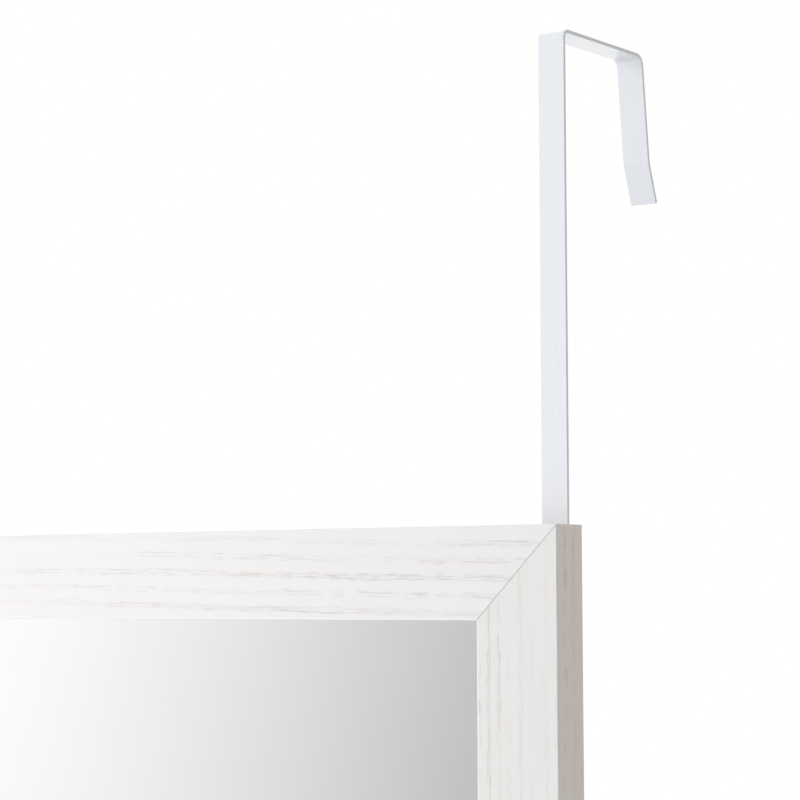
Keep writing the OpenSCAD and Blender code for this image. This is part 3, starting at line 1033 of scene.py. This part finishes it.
def shape_strap():
    """Lead the strap from its foot up, over the door and down its back, at X = 0."""
    front_y_axis, rear_y_axis = strap_low.y + strap_t + front_bend, throat_back - rear_bend
    foot = (0, strap_low.y + strap_t / 2, strap_low.z)
    strap = start(bpy.ops.mesh.primitive_plane_add, "strap", size=1, location=foot)
    bpy.ops.mesh.select_all(action="SELECT")
    resize(strap_w, strap_t, 1, foot)
    extrude(0, 0, -front_bend - strap_low.z)
    bend(front_y_axis, -front_bend, 90)
    extrude(0, rear_y_axis - front_y_axis, 0)
    bend(rear_y_axis, -rear_bend, 90 - leg_lean)
    lead(leg_lean, leg_len)
    reach = rear_bend + strap_t + kick_bend
    lean = radians(leg_lean)
    kick_y = rear_y_axis + reach * cos(lean) + leg_len * sin(lean)
    kick_z = -rear_bend + reach * sin(lean) - leg_len * cos(lean)
    bend(kick_y, kick_z, leg_lean - kick_lean)
    lead(kick_lean, kick_len)
    pick("EDGE", lambda edge: all(end.co.z < strap_low.z + TINY for end in edge.verts)
         and abs(edge.verts[0].co.x - edge.verts[1].co.x) < TINY)
    bpy.ops.mesh.bevel(offset=tail_r, segments=8, affect="EDGES")
    return close(strap)


# %% [markdown]
# Two upright slots near the foot let the hook be set higher or lower on its screws. Each is cut with a bar whose four
# edges are rounded until its ends are half round. The screws' places are read from the frame, where they are fixed.

# %% Slots in the strap
slot_w, slot_len = 4.4 * MM, 34.4 * MM
screw_places = {}
for row in ("upper", "lower"):
    screw_low, screw_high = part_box(f"hook_screw_{row}_right")
    screw_places[row] = (screw_low + screw_high) / 2


def cut_slot(strap, z):
    """Cut one slot, centred at this height."""
    cutter = start(
        bpy.ops.mesh.primitive_cube_add, "slot", size=1,
        location=(0, strap_low.y + strap_t / 2, z), scale=(slot_w, 3 * strap_t, slot_len),
    )
    pick("EDGE", lambda edge: abs(edge.verts[0].co.y - edge.verts[1].co.y) > strap_t)
    bpy.ops.mesh.bevel(offset=slot_w / 2 - TINY / 10, segments=10, affect="EDGES")
    bpy.ops.mesh.select_all(action="SELECT")
    bpy.ops.mesh.remove_doubles(threshold=TINY)
    cut(strap, close(cutter))


print("screws at heights, mm:", {row: round(place.z / MM, 1) for row, place in screw_places.items()})


# %% [markdown]
# Both hooks are the same strap, so it is made once at X = 0 and copied to each side. The print says how far back and
# up each one reaches.

# %% Make the two hooks
strap = shape_strap()
for place in screw_places.values():
    cut_slot(strap, place.z)
soften(strap, strap_edge)
surface(strap, powder_coat)
# The sheared sides get the greyer coat, which is painted shade on the narrow sides.
surface(strap, shaded_side_coat, lambda face: abs(face.normal.x) > 0.75)
for side, x in (("left", -strap_x), ("right", strap_x)):
    hook = put(duplicate(strap, f"{side}_door_hook"), (x, 0, 0))
    hand_over(hook, f"{side}_hook", "white_steel", f"hook_{side}")
    print("  reaches, mm:", [round(max(vertex.co[i] for vertex in hook.data.vertices) / MM, 2) for i in (1, 2)])
bpy.data.objects.remove(strap)

# %% [markdown]
# ## Screws and washers
#
# Each hook is held by two pan-head tapping screws over washers. The head is a low disc drawn up into a dome ring by
# ring, and its cross recess is cut with two tapered bars. One screw is made at the origin, pointing at the door, and
# its copies are turned differently, as screws are once they are driven.

# %% Screw
head_r, head_rim, head_h = 4 * MM, 0.7 * MM, 2.2 * MM
shank_r, shank_len, tip_len = 2 * MM, 12 * MM, 3 * MM
recess_w, recess_t, recess_h = 4.4 * MM, 0.9 * MM, 1.3 * MM
tip_taper, recess_taper, dome_step = 0.06, 0.5, 15
head_edge = 0.08 * MM
TO_DOOR = (-pi / 2, 0, 0)


def shape_screw():
    """Draw up the domed head, pull out the shank and its point, and cut the recess."""
    screw = start(
        bpy.ops.mesh.primitive_cylinder_add, "screw", vertices=48, radius=head_r, depth=head_rim,
        location=(0, head_rim / 2, 0), rotation=TO_DOOR,
    )
    pick("FACE", lambda face: face.normal.y > 0.9)
    for degrees in range(0, 75, dome_step):
        low, high = radians(degrees), radians(degrees + dome_step)
        extrude(0, (head_h - head_rim) * (sin(high) - sin(low)), 0)
        resize(cos(high) / cos(low), 1, cos(high) / cos(low))
    pick("FACE", lambda face: face.normal.y < -0.9)
    bpy.ops.mesh.inset(thickness=head_r - shank_r)
    extrude(0, tip_len - shank_len, 0)
    extrude(0, -tip_len, 0)
    resize(tip_taper, 1, tip_taper)
    close(screw)
    for turn_y in (0, pi / 2):
        arm = start(
            bpy.ops.mesh.primitive_cube_add, "recess", size=1, location=(0, head_h, 0),
            rotation=(0, turn_y, 0), scale=(recess_w, 2 * recess_h, recess_t),
        )
        pick("FACE", lambda face: face.normal.y < -0.9)
        resize(recess_taper, 1, recess_taper)
        cut(screw, close(arm))
    soften(screw, head_edge)
    surface(screw, zinc)
    return screw


# %% [markdown]
# A washer bridges the slot under each head. Deleting the middle of a disc would leave it without a wall, so the hole
# is punched with a second, thinner cylinder instead, as a press does it.

# %% Washer
washer_r, washer_t, washer_edge = 4.5 * MM, 0.8 * MM, 0.12 * MM


def shape_washer():
    """A punched disc with its edges tumbled round."""
    disc, hole = (
        close(start(
            bpy.ops.mesh.primitive_cylinder_add, name, vertices=48, radius=radius, depth=depth,
            location=(0, washer_t / 2, 0), rotation=TO_DOOR,
        ))
        for name, radius, depth in (("washer", washer_r, washer_t), ("hole", slot_w / 2, 2 * washer_t))
    )
    cut(disc, hole)
    soften(disc, washer_edge)
    surface(disc, zinc)
    return disc


# %% [markdown]
# The copies take their places from the CAD solids' boxes. No two screws end up at the same angle once they are
# driven, so each copy is turned by its own amount.

# %% Put the screws and washers in their places
screw, washer = shape_screw(), shape_washer()
head_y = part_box("hook_screw_upper_right")[1].y - head_h
washer_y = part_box("washer_upper_right")[0].y
driven = {("upper", "left"): 17, ("lower", "left"): 71, ("upper", "right"): 52, ("lower", "right"): 8}
for (row, side), turn_y in driven.items():
    x, z = strap_x if side == "right" else -strap_x, screw_places[row].z
    piece = put(duplicate(screw, f"{row}_{side}_screw"), (x, head_y, z), turn_y)
    hand_over(piece, "frame", "zinc_steel", f"hook_screw_{row}_{side}")
    piece = put(duplicate(washer, f"{row}_{side}_washer"), (x, washer_y, z), turn_y)
    hand_over(piece, "frame", "zinc_steel", f"washer_{row}_{side}")
for pattern in (screw, washer):
    bpy.data.objects.remove(pattern)

# %% [markdown]
# ## Bumpers
#
# Four soft bumpers keep the screw heads off the door. Each is a short cone of milky rubber with a rounded rim and a
# shallow dish in its end, stuck to the back of the frame near a corner. The dish is sunk ring by ring: each ring is
# given as how far it lies inwards of the last one, and how far it sinks.

# %% Bumpers
bumper_low, bumper_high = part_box("bumper_top_right")
bumper_r, bumper_tip_r = (bumper_high.x - bumper_low.x) / 2, 5.25 * MM
bumper_t = bumper_high.y - bumper_low.y
bumper_rim, bumper_foot = 1 * MM, 0.3 * MM
dish_rings = ((0.3 * MM, 0.0), (0.9 * MM, 0.25 * MM), (1.2 * MM, 0.12 * MM))
print(f"bumper {2 * bumper_r / MM:.1f} mm across and {bumper_t / MM:.1f} mm high")


def shape_bumper():
    """A cone, its rim rounded and its end dished."""
    bumper = start(
        bpy.ops.mesh.primitive_cone_add, "bumper", vertices=48, radius1=bumper_r, radius2=bumper_tip_r,
        depth=bumper_t, location=(0, bumper_t / 2, 0), rotation=TO_DOOR,
    )
    pick("FACE", lambda face: face.normal.y > 0.9)
    bpy.ops.mesh.bevel(offset=bumper_rim, segments=5, affect="EDGES")
    pick("FACE", lambda face: face.normal.y > 0.99)
    for inwards, sink in dish_rings:
        bpy.ops.mesh.inset(thickness=inwards)
        bpy.ops.transform.translate(value=(0, -sink, 0))
    pick("FACE", lambda face: face.normal.y < -0.9)
    bpy.ops.mesh.bevel(offset=bumper_foot, segments=2, affect="EDGES")
    close(bumper)
    soften(bumper)
    surface(bumper, rubber)
    return bumper


bumper = shape_bumper()
corners = [(end, side) for end in ("top", "bottom") for side in ("left", "right")]
for end, side in corners:
    low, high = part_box(f"bumper_{end}_{side}")
    place = ((low.x + high.x) / 2, low.y, (low.z + high.z) / 2)
    piece = put(duplicate(bumper, f"{end}_{side}_bumper"), place)
    hand_over(piece, "frame", "bumper_rubber", f"bumper_{end}_{side}")
bpy.data.objects.remove(bumper)

# %% [markdown]
# ## Glazing points
#
# Flat steel points pushed into the rabbet's wall hold the board down. Each is a small arrow of thin sheet that lies
# on the board, its free end turned up a little so that it can be gripped. It is made as it is stamped: a flat sheet
# that is folded in two places and drawn in to a point, and gets its thickness last. The folds are given as shares of
# the tail's length, and as how much of the whole curl each one takes.

# %% Glazing point
point_low, point_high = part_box("glazing_points_top")
point_w, point_t, point_bite = 5.5 * MM, point_high.y - point_low.y, point_high.z - (frame_top - solid_w)
point_tail = frame_top - solid_w - point_low.z
curl = 0.5 * MM
fold_lines, folds = (0.65, 0.82), ((0.7, 0.3), (0.9, 0.7))
point_taper, point_edge = 0.04, 0.08 * MM
print(f"glazing point {point_w / MM:.1f} mm wide, {point_t / MM:.1f} mm thick, {point_bite / MM:.1f} mm into the wall")


def shape_point():
    """A pointed strip with the rabbet's wall at Z = 0 and its back face at Y = 0."""
    shoulder = point_bite - point_w / 2
    middle = (0, 0, (shoulder - point_tail) / 2)
    point = start(bpy.ops.mesh.primitive_plane_add, "point", size=1, rotation=(pi / 2, 0, 0), location=middle)
    bpy.ops.mesh.select_all(action="SELECT")
    resize(point_w, 1, shoulder + point_tail, middle)
    for share in fold_lines:
        bpy.ops.mesh.select_all(action="SELECT")
        bpy.ops.mesh.bisect(plane_co=(0, 0, -share * point_tail), plane_no=(0, 0, 1))
    for share, rise in folds:
        pick("VERT", lambda vertex: vertex.co.z < -share * point_tail)
        bpy.ops.transform.translate(value=(0, rise * curl, 0))
    pick("EDGE", lambda edge: all(end.co.z > shoulder - TINY for end in edge.verts))
    extrude(0, 0, point_w / 2)
    resize(point_taper, 1, 1)
    close(point)
    modify(point, "SOLIDIFY", thickness=point_t, offset=-1)
    soften(point, point_edge)
    surface(point, zinc)
    return point


# %% [markdown]
# The points are spread evenly along each side, two on a rail and six on a stile. Each side is listed with its count,
# its turn and the place of a point that lies a part of the way along. The copies on one side are joined into one
# piece, as they are one node in CAD.

# %% Lay the points round the rabbet
def lay_points(pattern, name, node, count, turn_y, place_at):
    """Copy the points along one side of the rabbet and join them."""
    row = [put(duplicate(pattern, name), place_at((i + 0.5) / count - 0.5), turn_y) for i in range(count)]
    bpy.ops.object.select_all(action="DESELECT")
    for point in row:
        point.select_set(True)
    bpy.context.view_layer.objects.active = row[0]
    bpy.ops.object.join()
    row[0].name = row[0].data.name = name
    hand_over(row[0], "frame", "zinc_steel", node)


point = shape_point()
span = pane_high - pane_low
wall_x, wall_z, point_y = frame_right - solid_w, frame_h / 2 - solid_w, point_low.y
sides = {
    "top": (2, 0, lambda part: (part * span.x, point_y, frame_mid + wall_z)),
    "bottom": (2, 180, lambda part: (part * span.x, point_y, frame_mid - wall_z)),
    "right": (6, 90, lambda part: (wall_x, point_y, frame_mid + part * span.z)),
    "left": (6, -90, lambda part: (-wall_x, point_y, frame_mid + part * span.z)),
}
for side, (count, turn_y, place_at) in sides.items():
    lay_points(point, f"{side}_points", f"glazing_points_{side}", count, turn_y, place_at)
bpy.data.objects.remove(point)

# %% [markdown]
# ## Corner nails
#
# The L-shaped corner nails already have their right shape in CAD, sunk in the slots of the back. They stay as they
# are and only get the zinc finish.

# %% Corner nails
for end, side in corners:
    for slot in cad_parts[f"corner_nails_{end}_{side}"].material_slots:
        slot.material = zinc
print("zinc on", len(corners), "sets of corner nails")
